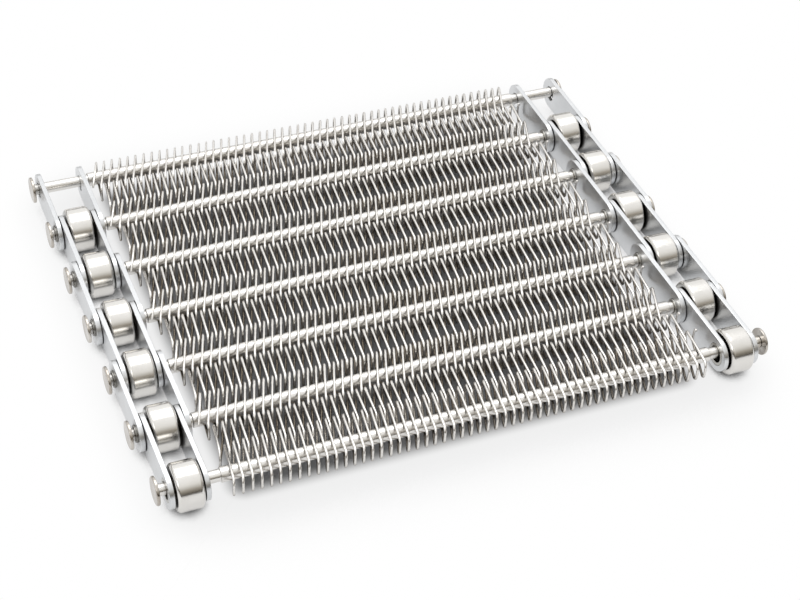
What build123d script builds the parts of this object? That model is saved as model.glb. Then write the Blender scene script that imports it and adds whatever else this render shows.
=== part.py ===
from build123d import *
import os

# A section of roller-chain mesh belt: six rows of chain links along Y, two chains at the
# ends of the cross rods, which lie along X, and intermeshed flat wire spirals between the
# chains. Sizes are in millimetres. The origin is on the floor under the middle of the belt.

# Chains
chain_pitch = 38.1
row_count = 6
width_over_plates = 300.0
plate_height = 17.6
plate_thickness = 2.4
plate_gap = 0.3
width_between_inner_plates = 14.0
running_clearance = 0.1

# Hollow pins, bushes and rollers
hollow_pin_diameter = 8.3
hollow_pin_wall = 1.15
hollow_pin_stand_out = 0.8
bush_wall = 1.5
roller_diameter = 22.8
roller_side_clearance = 0.8
roller_edge = 1.2

# Cross rods and their heads
rod_diameter = 7.2
shoulder_to_plate = 2.8
rod_end_play = 0.9
rod_drift = 0.7
rod_lift_clearance = 0.05
head_diameter = 13.6
head_thickness = 1.5
head_edge = 0.4

# Wire mesh
wire_diameter = 1.25
wire_pitch = 4.36
wire_to_rod = 0.3
mesh_to_plate = 4.0

# How far the spirals reach from the middle of their rod, or of their row, to the far end
# of the belt and to its near end. The first and the last hang loose and are pulled inwards.
rod_spiral_reach_far = 13.1
rod_spiral_reach_near = 11.4
link_spiral_reach = 10.9
first_spiral_reach_far = 8.7
last_spiral_reach_far = 15.1
last_spiral_reach_near = 10.9

# Sizes that follow from those above
pin_bore = hollow_pin_diameter - 2 * hollow_pin_wall
rod_end_diameter = pin_bore - 2 * running_clearance
bush_bore = hollow_pin_diameter + 2 * running_clearance
bush_diameter = bush_bore + 2 * bush_wall
roller_bore = bush_diameter + 2 * running_clearance
roller_width = width_between_inner_plates - 2 * roller_side_clearance
outboard_outer_face = width_over_plates / 2
outboard_inner_face = outboard_outer_face - plate_thickness - plate_gap
bush_length = width_between_inner_plates + 2 * plate_thickness
inboard_inner_face = outboard_inner_face - bush_length
inboard_outer_face = inboard_inner_face - plate_gap
plate_to_plate = outboard_outer_face - inboard_outer_face + plate_thickness
pin_length = plate_to_plate + 2 * hollow_pin_stand_out
chain_centre = outboard_inner_face - bush_length / 2
shoulder = inboard_outer_face - plate_thickness - shoulder_to_plate
rod_end = outboard_outer_face + hollow_pin_stand_out + rod_end_play
spiral_height = rod_diameter + wire_diameter + 2 * wire_to_rod
wire_radius = wire_diameter / 2
wire_turns = int(2 * (inboard_outer_face - plate_thickness - mesh_to_plate) / wire_pitch)
first_rod_lift = (hollow_pin_diameter - rod_end_diameter) / 2 - rod_lift_clearance
last_rod_lift = (bush_bore - rod_end_diameter) / 2 - rod_lift_clearance
# The wires lean by two wire pitches in each chain pitch, so that every spiral is hooked
# halfway between the wires of its neighbours and all rod spirals stand alike.
lean = 2 * wire_pitch / chain_pitch

# Places along the belt, which reaches past its first and last rods by their spirals
reach_far = first_spiral_reach_far + wire_radius
reach_near = last_spiral_reach_near + wire_radius
first_rod_y = (row_count * chain_pitch + reach_near - reach_far) / 2
axis_height = roller_diameter / 2
sides = (-1, 1)
outer_rows = range(1, row_count + 1, 2)
inner_rows = range(2, row_count + 1, 2)


def rod_y(index):
    return first_rod_y - index * chain_pitch


def row_y(row):
    return (rod_y(row - 1) + rod_y(row)) / 2


def across(x, y, z=axis_height):
    """A sketch plane facing along the rods, with its own x along the belt."""
    return Plane(origin=(x, y, z), x_dir=(0, 1, 0), z_dir=(1, 0, 0))


def save(part, name):
    part.label = name
    export_step(part, "parts/" + name + ".step")


def link_plates(row, inner_faces, hole_diameter):
    """The same plate of both chains, each with its inner face at the given place."""
    with BuildPart() as plates:
        with BuildSketch(*[across(x, row_y(row)) for x in inner_faces]):
            SlotCenterToCenter(chain_pitch, plate_height)
            with GridLocations(chain_pitch, 0, 2, 1):
                Circle(hole_diameter / 2, mode=Mode.SUBTRACT)
        extrude(amount=plate_thickness)
    return plates.part


def tubes(pins, length, diameter, bore):
    """Tubes in both chains, centred on the chains, at the given pins."""
    places = [across(side * chain_centre, rod_y(pin)) for pin in pins for side in sides]
    with BuildPart() as tube:
        with BuildSketch(*places):
            Circle(diameter / 2)
            Circle(bore / 2, mode=Mode.SUBTRACT)
        extrude(amount=length / 2, both=True)
    return tube.part


def roller(pin, side):
    with BuildPart() as wheel:
        with BuildSketch(across(side * chain_centre, rod_y(pin))):
            Circle(roller_diameter / 2)
            Circle(roller_bore / 2, mode=Mode.SUBTRACT)
        extrude(amount=roller_width / 2, both=True)
        rims = wheel.edges().filter_by(GeomType.CIRCLE).sort_by(lambda edge: edge.radius)[-2:]
        chamfer(rims, length=roller_edge)
    return wheel.part


def rod_place(index):
    """Sideways drift and lift of a rod: the two end rods hang at the top of their holes."""
    drift = rod_drift if index == row_count else -rod_drift
    lift = {0: first_rod_lift, row_count: last_rod_lift}.get(index, 0)
    return drift, axis_height + lift


def cross_rod(index):
    drift, height = rod_place(index)
    with BuildPart() as rod:
        with BuildSketch(across(drift, rod_y(index), height)):
            Circle(rod_end_diameter / 2)
        extrude(amount=rod_end, both=True)
        with BuildSketch(across(drift, rod_y(index), height)):
            Circle(rod_diameter / 2)
        extrude(amount=shoulder, both=True)
    return rod.part


def rod_heads(index):
    drift, height = rod_place(index)
    with BuildPart() as heads:
        for side in sides:
            seat = across(drift + side * rod_end, rod_y(index), height)
            with BuildSketch(seat):
                Circle(head_diameter / 2)
            extrude(amount=side * head_thickness)
            outside = heads.faces().sort_by(Axis.X)[-1 if side > 0 else 0]
            chamfer(outside.edges(), length=head_edge)
    return heads.part


def spiral_path(reach_far, reach_near, middle_x, hand):
    """Corners of a flat spiral about the origin. Hand 1 climbs along X while its top
    wires run towards the far end, hand -1 while they run towards the near end."""
    start_y, end_y = (-reach_near, reach_far) if hand > 0 else (reach_far, -reach_near)
    top = spiral_height / 2
    first_x = middle_x - wire_turns * wire_pitch / 2 + lean * start_y
    corners = []
    for turn in range(wire_turns):
        x = first_x + turn * wire_pitch
        across_x = x + wire_pitch / 2 + lean * (end_y - start_y)
        corners.append((x, start_y, top))
        corners.append((across_x, end_y, top))
        corners.append((across_x, end_y, -top))
        corners.append((x + wire_pitch, start_y, -top))
    corners.append((first_x + wire_turns * wire_pitch, start_y, top))
    return corners


def wire_spiral(reach_far, reach_near, middle_x, hand):
    corners = spiral_path(reach_far, reach_near, middle_x, hand)
    first_leg = Vector(*corners[1]) - Vector(*corners[0])
    with BuildPart() as spiral:
        with BuildLine() as centreline:
            Polyline(*corners)
        with BuildSketch(Plane(origin=corners[0], x_dir=(0, 0, 1), z_dir=first_leg)):
            RegularPolygon(wire_radius, 3)
        sweep(path=centreline.line, transition=Transition.RIGHT)
    return spiral.part


os.makedirs("parts", exist_ok=True)

# Link plates: both chains have the narrow inner link and the outer link in turn
for row in outer_rows:
    outboard = (outboard_outer_face - plate_thickness, -outboard_outer_face)
    inboard = (inboard_outer_face - plate_thickness, -inboard_outer_face)
    save(link_plates(row, outboard, hollow_pin_diameter), f"row_{row}_outboard_plates")
    save(link_plates(row, inboard, hollow_pin_diameter), f"row_{row}_inboard_plates")
for row in inner_rows:
    outboard = (outboard_inner_face - plate_thickness, -outboard_inner_face)
    inboard = (inboard_inner_face, -inboard_inner_face - plate_thickness)
    save(link_plates(row, outboard, bush_diameter), f"row_{row}_outboard_plates")
    save(link_plates(row, inboard, bush_diameter), f"row_{row}_inboard_plates")

# Hollow pins are pressed into the outer links, bushes into the inner links
for row in outer_rows:
    pins = [pin for pin in (row - 1, row) if pin > 0]
    save(tubes(pins, pin_length, hollow_pin_diameter, pin_bore), f"row_{row}_hollow_pins")
for row in inner_rows:
    save(tubes((row - 1, row), bush_length, bush_diameter, bush_bore), f"row_{row}_bushes")

# Rollers on every bush
for pin in range(1, row_count + 1):
    save(roller(pin, -1), f"left_roller_{pin}")
    save(roller(pin, 1), f"right_roller_{pin}")

# Cross rods with a disc head welded on each end
for index in range(row_count + 1):
    save(cross_rod(index), f"cross_rod_{index}")
    save(rod_heads(index), f"rod_{index}_heads")

# Wire mesh: one spiral round each rod and one between each two, hooked through each other
rod_spiral = wire_spiral(rod_spiral_reach_far, rod_spiral_reach_near, -wire_pitch / 4, 1)
link_spiral = wire_spiral(link_spiral_reach, link_spiral_reach, wire_pitch / 4, -1)
last_spiral = wire_spiral(last_spiral_reach_far, last_spiral_reach_near, wire_pitch / 4, -1)
for index in range(row_count):
    slack = first_spiral_reach_far - rod_spiral_reach_far if index == 0 else 0
    place = (lean * slack, rod_y(index) + slack, rod_place(index)[1])
    save(Location(place) * rod_spiral, f"rod_spiral_{index}")
for row in range(1, row_count + 1):
    save(Location((0, row_y(row), axis_height)) * link_spiral, f"link_spiral_{row}")
# The spiral round the last rod has the hand of the link spirals and hangs in the last one
last_place = (0, rod_y(row_count), rod_place(row_count)[1])
save(Location(last_place) * last_spiral, f"rod_spiral_{row_count}")
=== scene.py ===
import math

import bmesh
import bpy
from mathutils import Matrix, Vector, noise


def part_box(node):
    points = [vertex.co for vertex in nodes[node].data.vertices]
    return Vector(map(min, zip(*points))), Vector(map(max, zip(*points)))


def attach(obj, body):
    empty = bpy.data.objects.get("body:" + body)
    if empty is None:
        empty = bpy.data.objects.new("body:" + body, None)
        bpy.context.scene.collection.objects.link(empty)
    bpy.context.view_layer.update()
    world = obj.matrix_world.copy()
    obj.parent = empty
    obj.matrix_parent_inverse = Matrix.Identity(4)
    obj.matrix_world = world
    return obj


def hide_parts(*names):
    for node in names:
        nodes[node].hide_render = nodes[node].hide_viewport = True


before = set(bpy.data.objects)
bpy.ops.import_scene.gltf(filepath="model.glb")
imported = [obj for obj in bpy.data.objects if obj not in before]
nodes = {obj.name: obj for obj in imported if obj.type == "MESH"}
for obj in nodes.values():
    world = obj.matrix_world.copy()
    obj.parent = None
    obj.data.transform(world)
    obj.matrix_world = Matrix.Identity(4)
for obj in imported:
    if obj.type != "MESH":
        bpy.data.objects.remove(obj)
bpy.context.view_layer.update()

# A section of chain-edge wire mesh belt. The rods lie along X and the belt runs along Y.
# Each plate, tube, roller, rod and head is its CAD node with eased edges, and each wire
# spiral is a coil of round wire in its node's place.

MM = 0.001
ROWS = 6
CHAIN_PITCH = 38.1 * MM

# Wire spirals: pitch, turns and height as in the solids, in a rounder wire with round
# bends, 1.34 mm thick so that neighbours are meant to stay clear in every pose. At 1.34 mm
# neighbours stay clear in every pose, and at 1.4 mm some of them touched.
WIRE_DIAMETER = 1.34 * MM
WIRE_SIDES = 6
WIRE_PITCH = 4.36 * MM
WIRE_TURNS = 55
SPIRAL_HEIGHT = 9.05 * MM
BEND_RADIUS = 2.6 * MM
BEND_STEPS = 3

# The wires lean by two wire pitches in each chain pitch
LEAN = 2 * WIRE_PITCH / CHAIN_PITCH

# Slow waves that push the wires out of line, and their lengths along and across the rods
UNEVENNESS = 0.6 * MM
WAVE_ALONG_RODS = 9 * MM
WAVE_ACROSS_RODS = 16 * MM

# Edges: what counts as one corner, as flat and as sharp, and how wide each kind is eased
SAME_CORNER = 0.001 * MM
FLAT_ANGLE = math.radians(0.5)
SHARP_ANGLE = math.radians(30)
PLATE_EDGE = 0.35 * MM
TUBE_EDGE = 0.2 * MM
ROLLER_EDGE = 0.45 * MM
ROD_EDGE = 0.3 * MM
HEAD_EDGE = 0.25 * MM
EDGE_SEGMENTS = 2
FLAT_FACE_WEIGHT = 80

# Wear and painted shade: clouds of tarnish, the depth of the grain and how much it changes
# the gloss, painted shade in narrow gaps, and how far below and above the pins the wires go
# from their painted underside shade to their bright tone
CLOUD_SIZE = 9 * MM
GRAIN_DEPTH = 0.05 * MM
GRAIN_GLOSS = 0.25
GAP_SHADE_TONE = "#3D372E"
GAP_SHADE_REACH = 3 * MM
GAP_RAYS = 6
SHADE_BELOW = 4.2 * MM
UNSHADED_ABOVE = 0.5 * MM

# Camera: the place and the turn that the photograph was taken from
CAMERA_FROM_FIRST_ROD = Vector((-277.8, -759.6, 578.6)) * MM
CAMERA_AZIMUTH = math.radians(24.07)
CAMERA_ELEVATION = math.radians(40.56)
CAMERA_ROLL = math.radians(-3.60)
CAMERA_LENS = 80.72
CAMERA_SENSOR = 36.0

# Table: its own tone, half its size, half the size of the square under the mesh where the white
# glow is held back, how the white grows outside that square, as start, end and share, how near
# pieces overhead and pieces that rest on it have to be for a painted shadow, and how much of the
# white metal shows
TABLE_TONE = "#8F9092"
TABLE_HALF = 12.0
DARK_HALF = 110 * MM
WHITE_STEPS = ((0.0, 12 * MM, 0.84), (20 * MM, 65 * MM, 0.16))
OVERHEAD_REACH = 60 * MM
CONTACT_REACH = 8 * MM
MIRRORED_WHITE = 0.85

# Studio: tones at the horizon, at shares of the way up and straight overhead, and where
# the front gives way to the back, from -1 in front of the belt to 1 behind it
FRONT_TONES = ("#1A1610", ((0.1, "#3C362D"), (0.4, "#A39D92"), (0.7, "#EEEDEA")), "#FFFFFF")
BACK_TONES = ("#332E27", ((0.08, "#5C564C"), (0.22, "#FFFFFF")), "#FFFFFF")
FRONT_ENDS = -0.5
BACK_BEGINS = 0.1


def middle(node):
    low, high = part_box(node)
    return (low + high) / 2


def length_along_belt(node):
    low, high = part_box(node)
    return high.y - low.y


first_rod = middle("cross_rod_0")
axis_height = middle("left_roller_1").z


# Materials


def linear(hex_colour):
    """An sRGB hex colour as the linear colour that the shaders take."""
    channels = [int(hex_colour[i : i + 2], 16) / 255 for i in (1, 3, 5)]
    made = [c / 12.92 if c <= 0.04045 else ((c + 0.055) / 1.055) ** 2.4 for c in channels]
    return (*made, 1.0)


def add_node(tree, kind, settings=None, inputs=None):
    """Adds a node, sets its properties and inputs; an input that is a socket is linked."""
    node = tree.nodes.new(kind)
    for key, value in (settings or {}).items():
        setattr(node, key, value)
    for key, value in (inputs or {}).items():
        if isinstance(value, bpy.types.NodeSocket):
            tree.links.new(value, node.inputs[key])
        else:
            node.inputs[key].default_value = value
    return node


def open_share(tree, reach, closed, bare):
    """0 where other surfaces are near, as deep in a gap, and 1 where the surface lies
    bare, judged by the share of rays of the given reach that get away from it."""
    free = add_node(
        tree, "ShaderNodeAmbientOcclusion", {"samples": GAP_RAYS}, {"Distance": reach}
    ).outputs["AO"]
    return add_node(
        tree,
        "ShaderNodeMapRange",
        {"interpolation_type": "SMOOTHSTEP"},
        {"Value": free, "From Min": closed, "From Max": bare, "To Min": 0.0, "To Max": 1.0},
    ).outputs["Result"]


def steel(name, dark, light, roughness, grain_mm, bump, stretch=(1, 1, 1), underside_shade=None):
    """Bare stainless steel. The grain runs along the axes whose stretch is small and
    changes the gloss, and a slow cloud of tarnish and wear changes the tone. Painted
    shade darkens the narrow gaps between pieces. Where an underside shade is given, the
    undersides are painted in it as shade, and what lies on top keeps the bright tone."""
    material = bpy.data.materials.new(name)
    material.use_nodes = True
    tree = material.node_tree
    shader = tree.nodes["Principled BSDF"]
    shader.inputs["Metallic"].default_value = 1.0
    place = add_node(tree, "ShaderNodeTexCoord").outputs["Object"]
    stretched = add_node(
        tree, "ShaderNodeMapping", {"vector_type": "POINT"}, {"Vector": place, "Scale": stretch}
    ).outputs["Vector"]
    grain = add_node(
        tree,
        "ShaderNodeTexNoise",
        None,
        {"Vector": stretched, "Scale": 1 / (grain_mm * MM), "Detail": 3.0, "Roughness": 0.6},
    ).outputs["Fac"]
    cloud = add_node(
        tree,
        "ShaderNodeTexNoise",
        None,
        {"Vector": place, "Scale": 1 / CLOUD_SIZE, "Detail": 4.0, "Roughness": 0.55},
    ).outputs["Fac"]
    tone = add_node(
        tree,
        "ShaderNodeMix",
        {"data_type": "RGBA"},
        {"Factor": cloud, "A": linear(dark), "B": linear(light)},
    ).outputs["Result"]
    # Painted shade: the undersides take the underside shade colour, which fades into the bright
    # tone above the pins
    if underside_shade:
        height = add_node(tree, "ShaderNodeSeparateXYZ", None, {"Vector": place}).outputs["Z"]
        lit_share = add_node(
            tree,
            "ShaderNodeMapRange",
            {"interpolation_type": "SMOOTHSTEP"},
            {
                "Value": height,
                "From Min": axis_height - SHADE_BELOW,
                "From Max": axis_height + UNSHADED_ABOVE,
                "To Min": 0.0,
                "To Max": 1.0,
            },
        ).outputs["Result"]
        tone = add_node(
            tree,
            "ShaderNodeMix",
            {"data_type": "RGBA"},
            {"Factor": lit_share, "A": linear(underside_shade), "B": tone},
        ).outputs["Result"]
    # Painted shade: narrow gaps between pieces are darkened toward the gap shade tone
    unshaded = open_share(tree, GAP_SHADE_REACH, closed=0.2, bare=0.65)
    tone = add_node(
        tree,
        "ShaderNodeMix",
        {"data_type": "RGBA"},
        {"Factor": unshaded, "A": linear(GAP_SHADE_TONE), "B": tone},
    ).outputs["Result"]
    tree.links.new(tone, shader.inputs["Base Color"])
    gloss = add_node(
        tree,
        "ShaderNodeMapRange",
        None,
        {
            "Value": grain,
            "To Min": roughness * (1 - GRAIN_GLOSS),
            "To Max": roughness * (1 + GRAIN_GLOSS),
        },
    ).outputs["Result"]
    tree.links.new(gloss, shader.inputs["Roughness"])
    relief = add_node(
        tree,
        "ShaderNodeBump",
        None,
        {"Strength": bump, "Distance": GRAIN_DEPTH, "Height": grain},
    ).outputs["Normal"]
    tree.links.new(relief, shader.inputs["Normal"])
    return material


# Stamped plate, tumbled: an even light grey with a fine pebbled grain
plate_steel = steel(
    "tumbled_stamped_stainless",
    dark="#DADCDE",
    light="#ECEDEE",
    roughness=0.3,
    grain_mm=0.6,
    bump=0.35,
)
# Drawn tube: plain, a little darker from the chain's oil, with faint lines along the tube
tube_steel = steel(
    "drawn_stainless_tube",
    dark="#B5B3AE",
    light="#CBC9C4",
    roughness=0.24,
    grain_mm=0.5,
    bump=0.2,
    stretch=(0.2, 1, 1),
)
# Turned and polished rollers: fine lines round the roller, which blur the light sideways
roller_steel = steel(
    "turned_stainless_roller",
    dark="#E2DFD9",
    light="#F3F1EE",
    roughness=0.2,
    grain_mm=0.35,
    bump=0.25,
    stretch=(1, 0.04, 0.04),
)
# Drawn bar: faint die lines along the rod
rod_steel = steel(
    "drawn_stainless_bar",
    dark="#E6E3DE",
    light="#F7F5F2",
    roughness=0.24,
    grain_mm=0.5,
    bump=0.08,
    stretch=(0.06, 1, 1),
)
# Stamped discs, welded on: bright, with brownish clouds of heat tint
head_steel = steel(
    "welded_stainless_disc",
    dark="#7E6E5A",
    light="#F7F4EF",
    roughness=0.2,
    grain_mm=0.6,
    bump=0.15,
)
# Drawn and coiled wire: very bright on top, with a brownish painted shade beneath
wire_steel = steel(
    "drawn_stainless_wire",
    dark="#E6E2DC",
    light="#F8F6F3",
    roughness=0.28,
    grain_mm=0.8,
    bump=0.15,
    underside_shade="#857C70",
)


# Modelling


def finished_mesh(shape, name):
    mesh = bpy.data.meshes.new(name)
    shape.to_mesh(mesh)
    shape.free()
    return mesh


def finish_piece(name, mesh, body, node, material):
    """Links a finished mesh as a piece that rides on its body in place of its CAD node."""
    for polygon in mesh.polygons:
        polygon.use_smooth = True
    mesh.materials.clear()
    mesh.materials.append(material)
    piece = bpy.data.objects.new(name, mesh)
    bpy.context.scene.collection.objects.link(piece)
    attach(piece, body)
    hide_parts(node)
    return piece


def eased(node, body, width, material, name):
    """Makes the piece of a CAD node, with its sharp edges eased to the given width."""
    shape = bmesh.new()
    shape.from_mesh(nodes[node].data)
    bmesh.ops.remove_doubles(shape, verts=shape.verts, dist=SAME_CORNER)
    bmesh.ops.dissolve_limit(
        shape, angle_limit=FLAT_ANGLE, verts=shape.verts, edges=shape.edges
    )
    sharp = [
        edge
        for edge in shape.edges
        if len(edge.link_faces) == 2 and edge.calc_face_angle() > SHARP_ANGLE
    ]
    bmesh.ops.bevel(
        shape,
        geom=sharp,
        offset=width,
        affect="EDGES",
        segments=EDGE_SEGMENTS,
        profile=0.5,
        material=-1,
        clamp_overlap=True,
    )
    piece = finish_piece(name, finished_mesh(shape, name), body, node, material)
    # The wide faces lead the shading, so they look flat right up to their eased edges
    weighted = piece.modifiers.new("weighted_normals", "WEIGHTED_NORMAL")
    weighted.weight = FLAT_FACE_WEIGHT


def ring_of(geometry):
    """The edges among what an operator gives back."""
    return [item for item in geometry if isinstance(item, bmesh.types.BMEdge)]


def straight_run(shape, ring, offset):
    """Draws the wire on from its end ring and gives the new end ring."""
    drawn = bmesh.ops.extrude_edge_only(shape, edges=ring)["geom"]
    ends = [item for item in drawn if isinstance(item, bmesh.types.BMVert)]
    bmesh.ops.translate(shape, verts=ends, vec=offset)
    return ring_of(drawn)


def quarter_bend(shape, ring, centre, angle):
    """Bends the wire on from its end ring, round a line along X, and gives the new ring."""
    turned = bmesh.ops.spin(
        shape,
        geom=ring,
        cent=centre,
        axis=(1, 0, 0),
        angle=angle,
        steps=BEND_STEPS,
        use_duplicate=False,
    )
    return ring_of(turned["geom_last"])


def coil(length, hand):
    """A flat coil of round wire along X, centred on the origin and not yet leaning. Its
    legs climb along X, and each end of a leg has two bends with a short upright between."""
    straight = length - WIRE_DIAMETER - 2 * BEND_RADIUS
    level = SPIRAL_HEIGHT / 2
    bend_level = level - BEND_RADIUS
    turn = -hand * math.pi / 2
    shape = bmesh.new()
    start = Matrix.Translation((-WIRE_TURNS * WIRE_PITCH / 2, -hand * straight / 2, level))
    upright = Matrix.Rotation(math.pi / 2, 4, "X")
    bmesh.ops.create_circle(
        shape, segments=WIRE_SIDES, radius=WIRE_DIAMETER / 2, matrix=start @ upright
    )
    ring = list(shape.edges)
    for _ in range(WIRE_TURNS):
        for way, down in ((hand, 1), (-hand, -1)):
            end = way * straight / 2
            ring = straight_run(shape, ring, (WIRE_PITCH / 2, way * straight, 0))
            ring = quarter_bend(shape, ring, (0, end, down * bend_level), turn)
            ring = straight_run(shape, ring, (0, 0, -2 * down * bend_level))
            ring = quarter_bend(shape, ring, (0, end, -down * bend_level), turn)
    bmesh.ops.holes_fill(shape, edges=shape.edges, sides=WIRE_SIDES)
    bmesh.ops.recalc_face_normals(shape, faces=shape.faces)
    return finished_mesh(shape, "coil")


def spiral(name, node, body, base, shift_x, carrier_y):
    """Makes a coil leaned and set in its CAD node's place, its wires a little out of line.
    The lean is measured from the rod that carries the coil, or else from its own middle."""
    shape = bmesh.new()
    shape.from_mesh(base)
    centre = middle(node)
    for vert in shape.verts:
        # Neighbours share the waves, so that hooked wires stay clear of each other
        along = vert.co.x / WAVE_ALONG_RODS
        across = (vert.co.y + centre.y) / WAVE_ACROSS_RODS
        vert.co.x += UNEVENNESS * noise.noise(Vector((along, across, 0.0)))
    lean = Matrix.Identity(4)
    lean[0][1] = LEAN
    bmesh.ops.transform(shape, matrix=lean, verts=shape.verts)
    sideways = shift_x + LEAN * (centre.y - carrier_y)
    bmesh.ops.translate(shape, verts=shape.verts, vec=(sideways, centre.y, centre.z))
    mesh = finished_mesh(shape, name)
    finish_piece(name, mesh, body, node, wire_steel)
    # The cut ends of the wire stay flat
    for polygon in mesh.polygons:
        polygon.use_smooth = len(polygon.vertices) < WIRE_SIDES


# Chains

for row in range(1, ROWS + 1):
    body = f"link_row_{row}"
    for place in ("outboard", "inboard"):
        node = f"row_{row}_{place}_plates"
        eased(node, body, PLATE_EDGE, plate_steel, f"{node}_eased")
    tubes = f"row_{row}_hollow_pins" if row % 2 else f"row_{row}_bushes"
    eased(tubes, body, TUBE_EDGE, tube_steel, f"{tubes}_eased")

for side in ("left", "right"):
    for pin in range(1, ROWS + 1):
        node = f"{side}_roller_{pin}"
        body = f"{side}_wheel_{pin}"
        eased(node, body, ROLLER_EDGE, roller_steel, f"{node}_turned")

# Rods

for index in range(ROWS + 1):
    body = f"rod_{index}"
    heads = f"rod_{index}_heads"
    eased(f"cross_rod_{index}", body, ROD_EDGE, rod_steel, f"rod_{index}_drawn")
    eased(heads, body, HEAD_EDGE, head_steel, f"rod_{index}_head_discs")

# Wire mesh: a spiral round each rod and one between each two. The spiral round the last
# rod has the hand of those between, and the spirals round the end rods ride on the end rows.

rod_coil = coil(length_along_belt("rod_spiral_1"), 1)
link_coil = coil(length_along_belt("link_spiral_1"), -1)
last_coil = coil(length_along_belt(f"rod_spiral_{ROWS}"), -1)
quarter_pitch = WIRE_PITCH / 4
end_rows = {0: "link_row_1", ROWS: f"link_row_{ROWS}"}

for index in range(ROWS + 1):
    node = f"rod_spiral_{index}"
    body = end_rows.get(index, f"spiral_at_rod_{index}")
    base = last_coil if index == ROWS else rod_coil
    shift = quarter_pitch if index == ROWS else -quarter_pitch
    carrier_y = middle(f"cross_rod_{index}").y
    spiral(f"rod_coil_{index}", node, body, base, shift, carrier_y)

for row in range(1, ROWS + 1):
    node = f"link_spiral_{row}"
    body = f"link_row_{row}"
    carrier_y = middle(node).y
    spiral(f"link_coil_{row}", node, body, link_coil, quarter_pitch, carrier_y)


# Camera

ahead = Vector(
    (
        math.sin(CAMERA_AZIMUTH) * math.cos(CAMERA_ELEVATION),
        math.cos(CAMERA_AZIMUTH) * math.cos(CAMERA_ELEVATION),
        -math.sin(CAMERA_ELEVATION),
    )
)
level_right = ahead.cross(Vector((0, 0, 1))).normalized()
level_down = ahead.cross(level_right)
right = math.cos(CAMERA_ROLL) * level_right + math.sin(CAMERA_ROLL) * level_down
down = ahead.cross(right)
turn = Matrix((right, -down, -ahead)).transposed().to_4x4()
stand = Vector((0, first_rod.y, axis_height)) + CAMERA_FROM_FIRST_ROD
camera_data = bpy.data.cameras.new("camera")
camera_data.lens = CAMERA_LENS
camera_data.sensor_width = CAMERA_SENSOR
camera = bpy.data.objects.new("camera", camera_data)
camera.matrix_world = Matrix.Translation(stand) @ turn
bpy.context.scene.collection.objects.link(camera)
bpy.context.scene.camera = camera


# Table, studio and lamps


def white_share(tree):
    """The share of white glow: 0 under the wire mesh, where the matt shows its real shadow, most
    of 1 just outside it, where the soft shadow of the chains is partly painted and partly real,
    and 1 where that shadow has faded or where nothing is overhead."""
    place = add_node(tree, "ShaderNodeTexCoord").outputs["Object"]
    parts = add_node(tree, "ShaderNodeSeparateXYZ", None, {"Vector": place}).outputs
    outside = {}
    for axis in ("X", "Y"):
        size = add_node(
            tree, "ShaderNodeMath", {"operation": "ABSOLUTE"}, {0: parts[axis]}
        ).outputs[0]
        past = add_node(
            tree, "ShaderNodeMath", {"operation": "SUBTRACT"}, {0: size, 1: DARK_HALF}
        ).outputs[0]
        outside[axis] = add_node(
            tree, "ShaderNodeMath", {"operation": "MAXIMUM"}, {0: past, 1: 0.0}
        ).outputs[0]
    corner = add_node(tree, "ShaderNodeCombineXYZ", None, outside).outputs["Vector"]
    distance = add_node(
        tree, "ShaderNodeVectorMath", {"operation": "LENGTH"}, {0: corner}
    ).outputs["Value"]
    near, far = (
        add_node(
            tree,
            "ShaderNodeMapRange",
            {"interpolation_type": "SMOOTHSTEP"},
            {"Value": distance, "From Min": start, "From Max": end, "To Min": 0.0, "To Max": share},
        ).outputs["Result"]
        for start, end, share in WHITE_STEPS
    )
    around = add_node(tree, "ShaderNodeMath", {"operation": "ADD"}, {0: near, 1: far}).outputs[0]
    # Painted shade: the white is held back where pieces overhead are near
    bare = open_share(tree, OVERHEAD_REACH, closed=0.6, bare=0.95)
    white = add_node(
        tree, "ShaderNodeMath", {"operation": "MAXIMUM"}, {0: around, 1: bare}
    ).outputs[0]
    # Painted contact shadow: the white is held back where a roller or a plate rests on the table or
    # nearly touches it
    clear = open_share(tree, CONTACT_REACH, closed=0.15, bare=0.6)
    return add_node(
        tree, "ShaderNodeMath", {"operation": "MULTIPLY"}, {0: white, 1: clear}
    ).outputs[0]


def make_floor():
    """A matt table top, which the camera and the metal see as white to its white share."""
    shape = bmesh.new()
    bmesh.ops.create_grid(shape, x_segments=1, y_segments=1, size=TABLE_HALF)
    mesh = finished_mesh(shape, "floor")
    floor = bpy.data.objects.new("floor", mesh)
    bpy.context.scene.collection.objects.link(floor)
    material = bpy.data.materials.new("white_table")
    material.use_nodes = True
    tree = material.node_tree
    tree.nodes.clear()
    matt = add_node(tree, "ShaderNodeBsdfDiffuse", None, {"Color": linear(TABLE_TONE)})
    glow = add_node(tree, "ShaderNodeEmission", None, {"Color": (1, 1, 1, 1), "Strength": 1.0})
    rays = add_node(tree, "ShaderNodeLightPath").outputs
    reflected = add_node(
        tree,
        "ShaderNodeMath",
        {"operation": "MAXIMUM"},
        {0: rays["Is Glossy Ray"], 1: rays["Is Transmission Ray"]},
    ).outputs[0]
    # Metal shows the table a little darker than the eye does, which keeps its edges clear
    dimmed = add_node(
        tree, "ShaderNodeMath", {"operation": "MULTIPLY"}, {0: reflected, 1: MIRRORED_WHITE}
    ).outputs[0]
    seen = add_node(
        tree,
        "ShaderNodeMath",
        {"operation": "MAXIMUM"},
        {0: rays["Is Camera Ray"], 1: dimmed},
    ).outputs[0]
    share = add_node(
        tree, "ShaderNodeMath", {"operation": "MULTIPLY"}, {0: seen, 1: white_share(tree)}
    ).outputs[0]
    mixed = add_node(
        tree, "ShaderNodeMixShader", None, {0: share, 1: matt.outputs[0], 2: glow.outputs[0]}
    ).outputs[0]
    add_node(tree, "ShaderNodeOutputMaterial", None, {"Surface": mixed})
    mesh.materials.append(material)


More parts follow.
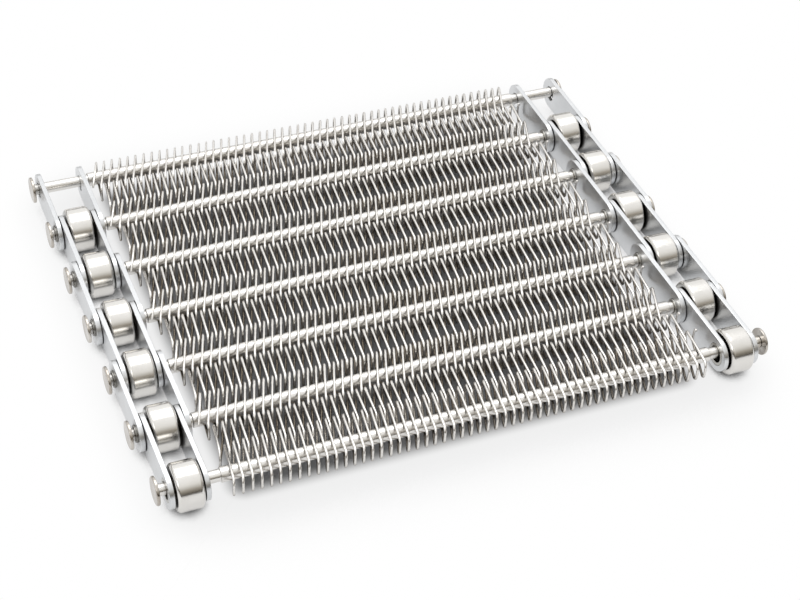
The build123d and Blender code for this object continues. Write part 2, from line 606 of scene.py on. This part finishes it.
def make_world():
    """A white studio overhead and behind the belt, and a dim room in front of it, which
    draws the dark lines along rollers and rods."""
    world = bpy.data.worlds.new("studio")
    bpy.context.scene.world = world
    world.use_nodes = True
    tree = world.node_tree
    tree.nodes.clear()
    place = add_node(tree, "ShaderNodeTexCoord").outputs["Generated"]
    parts = add_node(tree, "ShaderNodeSeparateXYZ", None, {"Vector": place}).outputs
    walls = []
    for horizon, between, overhead in (FRONT_TONES, BACK_TONES):
        ramp = add_node(tree, "ShaderNodeValToRGB", None, {"Fac": parts["Z"]})
        tones = ramp.color_ramp.elements
        tones[0].color = linear(horizon)
        tones[1].color = linear(overhead)
        for height, colour in between:
            tones.new(height).color = linear(colour)
        walls.append(ramp.outputs["Color"])
    backness = add_node(
        tree,
        "ShaderNodeMapRange",
        {"interpolation_type": "SMOOTHSTEP"},
        {
            "Value": parts["Y"],
            "From Min": FRONT_ENDS,
            "From Max": BACK_BEGINS,
            "To Min": 0.0,
            "To Max": 1.0,
        },
    ).outputs["Result"]
    studio = add_node(
        tree,
        "ShaderNodeMix",
        {"data_type": "RGBA"},
        {"Factor": backness, "A": walls[0], "B": walls[1]},
    ).outputs["Result"]
    sky = add_node(tree, "ShaderNodeBackground", None, {"Color": studio, "Strength": 1.0})
    add_node(tree, "ShaderNodeOutputWorld", None, {"Surface": sky.outputs[0]})


def softbox(name, place, width, depth, power):
    """A rectangular lamp that faces the origin, on the table under the middle of the belt."""
    data = bpy.data.lights.new(name, "AREA")
    data.shape = "RECTANGLE"
    data.size = width
    data.size_y = depth
    data.energy = power
    lamp = bpy.data.objects.new(name, data)
    lamp.location = place
    lamp.rotation_euler = (-Vector(place)).to_track_quat("-Z", "Y").to_euler()
    bpy.context.scene.collection.objects.link(lamp)


make_floor()
make_world()
softbox("overhead_softbox", place=(0.0, 0.35, 1.1), width=1.3, depth=0.9, power=5)
softbox("left_fill", place=(-1.1, -0.5, 0.7), width=0.6, depth=0.5, power=1.2)

bpy.context.scene.view_settings.view_transform = "Standard"
